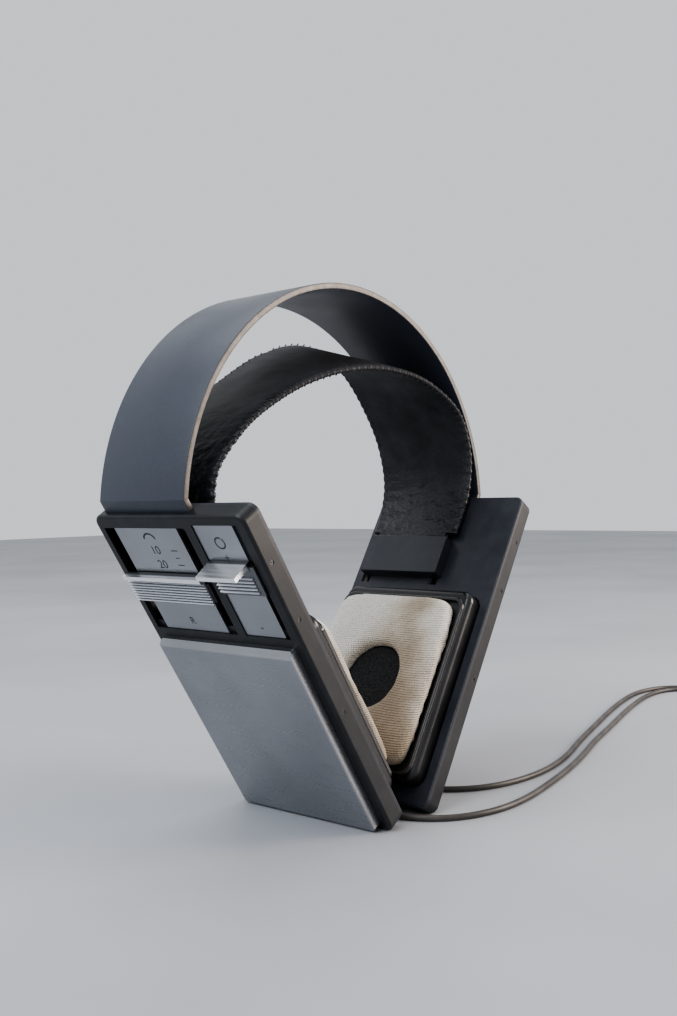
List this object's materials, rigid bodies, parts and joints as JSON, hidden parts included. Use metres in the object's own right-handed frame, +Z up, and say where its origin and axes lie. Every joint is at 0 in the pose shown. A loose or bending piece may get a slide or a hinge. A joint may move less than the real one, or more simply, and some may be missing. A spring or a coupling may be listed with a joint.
{
  "type": "radio headphones",
  "caption": "Vintage radio headphones: sprung headband, leather head strap, leaning earpieces with sliding controls, knitted pads and a plugged cord.",
  "frame": {"origin": "on the resting surface, midway between the two earpieces and at the middle of their width", "axes": "+Z up, +X towards the wearer's left earpiece, +Y towards the back edge of the earpieces"},
  "size_m": [0.415, 0.1971, 0.2031],
  "materials": {
    "black_plastic": "satin moulded",
    "capsule_plastic": "fine satin",
    "gloss_rim": "gloss",
    "brushed_aluminium": "fine brushed, anodised",
    "plate_aluminium": "satin anodised",
    "ridged_aluminium": "bright milled ridges",
    "steel": "plain",
    "brass": "bright",
    "magnet": "sintered",
    "film": "clear film",
    "board": "laminate",
    "foam": "open foam",
    "pad_fabric": "fine ribbed knit",
    "band_finish": "satin black",
    "strap_leather": "grained, whip stitched",
    "cord_rubber": "satin",
    "plug_plastic": "satin"
  },
  "bodies": {
    "root": {"headband": "band_finish", "head_strap": "strap_leather", "cord_right": "cord_rubber", "cord_left": "cord_rubber", "cord_main": "cord_rubber", "cord_tail": "cord_rubber", "cord_coil": "cord_rubber", "cord_splitter": "cord_rubber", "plug_relief": "cord_rubber", "plug_body": "plug_plastic", "plug_shell": "steel", "plug_pins": "brass"},
    "left_earpiece": {"housing_left": "black_plastic", "inner_panel_left": "black_plastic", "side_screws_left": "steel", "driver_cover_left": "brushed_aluminium", "head_scale_left": "plate_aluminium", "ear_scale_left": "plate_aluminium", "band_clamp_left": "steel", "terminal_board_left": "board", "cable_gland_left": "cord_rubber"},
    "left_head_control": {"head_slider_left": "ridged_aluminium", "strap_holder_left": "black_plastic", "holder_cover_left": "black_plastic"},
    "left_ear_control": {"ear_slider_left": "ridged_aluminium", "ear_wedge_left": "steel"},
    "left_capsule": {"capsule_shell_left": "capsule_plastic", "pad_rim_left": "gloss_rim", "ear_pad_left": "pad_fabric", "hole_foam_left": "foam", "driver_frame_left": "black_plastic", "driver_magnet_left": "magnet", "driver_diaphragm_left": "film", "driver_grille_left": "black_plastic"},
    "right_earpiece": {"housing_right": "black_plastic", "inner_panel_right": "black_plastic", "side_screws_right": "steel", "driver_cover_right": "brushed_aluminium", "head_scale_right": "plate_aluminium", "ear_scale_right": "plate_aluminium", "band_clamp_right": "steel", "terminal_board_right": "board", "cable_gland_right": "cord_rubber"},
    "right_head_control": {"head_slider_right": "ridged_aluminium", "strap_holder_right": "black_plastic", "holder_cover_right": "black_plastic"},
    "right_ear_control": {"ear_slider_right": "ridged_aluminium", "ear_wedge_right": "steel"},
    "right_capsule": {"capsule_shell_right": "capsule_plastic", "pad_rim_right": "gloss_rim", "ear_pad_right": "pad_fabric", "hole_foam_right": "foam", "driver_frame_right": "black_plastic", "driver_magnet_right": "magnet", "driver_diaphragm_right": "film", "driver_grille_right": "black_plastic"}
  },
  "joints": [
    {"name": "left_flex", "type": "hinge", "parent": "root", "child": "left_earpiece", "pos_m": [0.046, 0, 0.176], "axis": [0, -1, 0], "range_deg": [0, 27], "stiffness_Nm_per_rad": 0.7, "deforming": ["headband", "head_strap", "cord_left"]},
    {"name": "left_head_control", "type": "slide", "parent": "left_earpiece", "child": "left_head_control", "axis": [0.5373, 0, 0.8434], "range_m": [-0.006, 0.016], "deforming": ["head_strap"]},
    {"name": "left_ear_control", "type": "slide", "parent": "left_earpiece", "child": "left_ear_control", "axis": [0.5373, 0, 0.8434], "range_m": [-0.012, 0]},
    {"name": "left_capsule", "type": "slide", "parent": "left_earpiece", "child": "left_capsule", "axis": [0.8434, 0, -0.5373], "range_m": [-0.0001, 0.0031]},
    {"name": "right_flex", "type": "hinge", "parent": "root", "child": "right_earpiece", "pos_m": [-0.046, 0, 0.176], "axis": [0, 1, 0], "range_deg": [0, 27], "stiffness_Nm_per_rad": 0.7, "deforming": ["headband", "head_strap", "cord_right"]},
    {"name": "right_head_control", "type": "slide", "parent": "right_earpiece", "child": "right_head_control", "axis": [-0.5373, 0, 0.8434], "range_m": [-0.006, 0.016], "deforming": ["head_strap"]},
    {"name": "right_ear_control", "type": "slide", "parent": "right_earpiece", "child": "right_ear_control", "axis": [-0.5373, 0, 0.8434], "range_m": [-0.012, 0]},
    {"name": "right_capsule", "type": "slide", "parent": "right_earpiece", "child": "right_capsule", "axis": [-0.8434, 0, -0.5373], "range_m": [-0.0001, 0.0031]}
  ],
  "couplings": [
    {"joint": "left_capsule", "follows": "left_ear_control", "ratio": -0.25},
    {"joint": "right_capsule", "follows": "right_ear_control", "ratio": -0.25}
  ]
}
